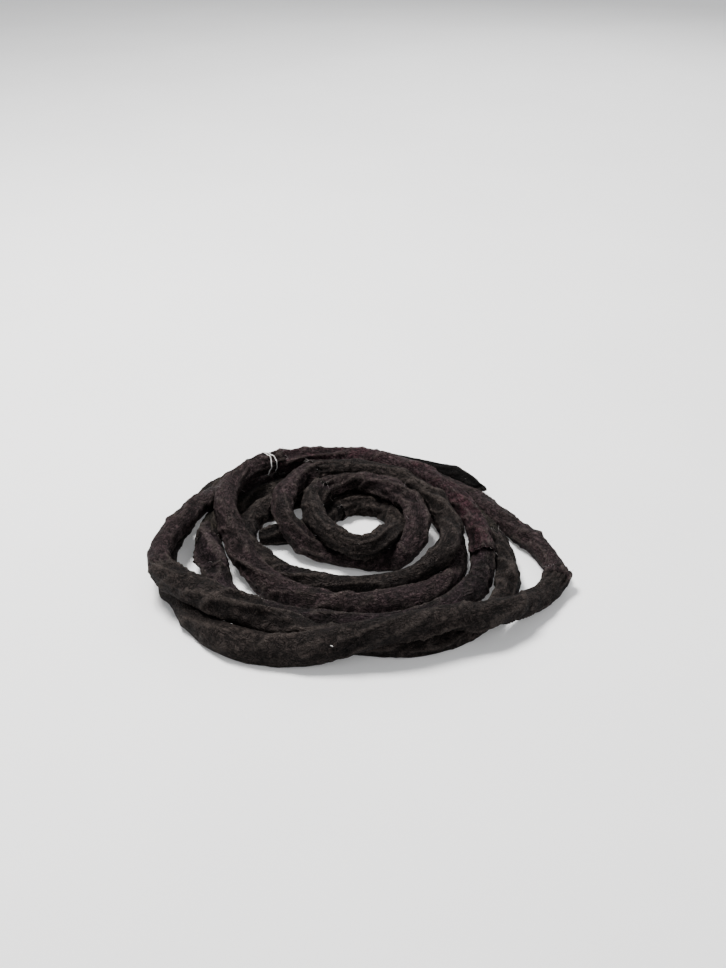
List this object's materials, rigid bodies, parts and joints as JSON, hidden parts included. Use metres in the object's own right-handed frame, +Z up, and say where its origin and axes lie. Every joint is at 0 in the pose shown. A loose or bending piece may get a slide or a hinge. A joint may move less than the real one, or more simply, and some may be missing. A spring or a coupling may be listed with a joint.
{
  "type": "jump rope",
  "caption": "Coiled jump rope without handles: a round rope in overlapping lengths of dark, worn cloth, with a white thread binding.",
  "frame": {"origin": "middle of the coil's footprint, on the surface it lies on", "axes": "+X across the coil towards the wide loop, +Y towards the free tail's side, +Z up"},
  "size_m": [0.23, 0.213, 0.0275],
  "materials": {
    "cloth_grey": "matte",
    "cloth_mauve": "matte",
    "cloth_burgundy": "matte",
    "cloth_olive": "matte",
    "cloth_dark": "matte",
    "rope_core": "matte",
    "thread_white": "matte"
  },
  "bodies": {
    "root": {"cover_outer_turn": "cloth_grey", "cover_right_loop": "cloth_mauve", "cover_left_front": "cloth_grey", "cover_third_turn": "cloth_olive", "cover_left_bunched": "cloth_dark", "cover_right_red": "cloth_burgundy", "cover_arch": "cloth_mauve", "cover_fifth_turn": "cloth_grey", "cover_sixth_turn": "cloth_mauve", "cover_inner_turn": "cloth_grey", "cover_inner_end": "cloth_dark", "rope_core": "rope_core", "hem_right_loop": "cloth_mauve", "hem_left_side": "cloth_grey", "hem_right_red": "cloth_burgundy", "hem_left_bunched": "cloth_dark", "thread_turn_1": "thread_white", "thread_turn_2": "thread_white", "thread_tail": "thread_white", "inner_end_plug": "cloth_dark"},
    "tail": {"tail_core": "rope_core", "cover_tail": "cloth_dark"},
    "tail_tip": {"tail_tip_core": "rope_core", "cover_tail_tip": "cloth_dark", "tip_flap": "cloth_dark"}
  },
  "joints": [
    {"name": "tail_bend", "type": "hinge", "parent": "root", "child": "tail", "pos_m": [0.04, 0.094, 0.0055], "axis": [0, 0, 1], "range_deg": [0, 35]},
    {"name": "tip_bend", "type": "hinge", "parent": "tail", "child": "tail_tip", "pos_m": [0.059, 0.084, 0.0055], "axis": [0, 0, 1], "range_deg": [0, 35]}
  ]
}
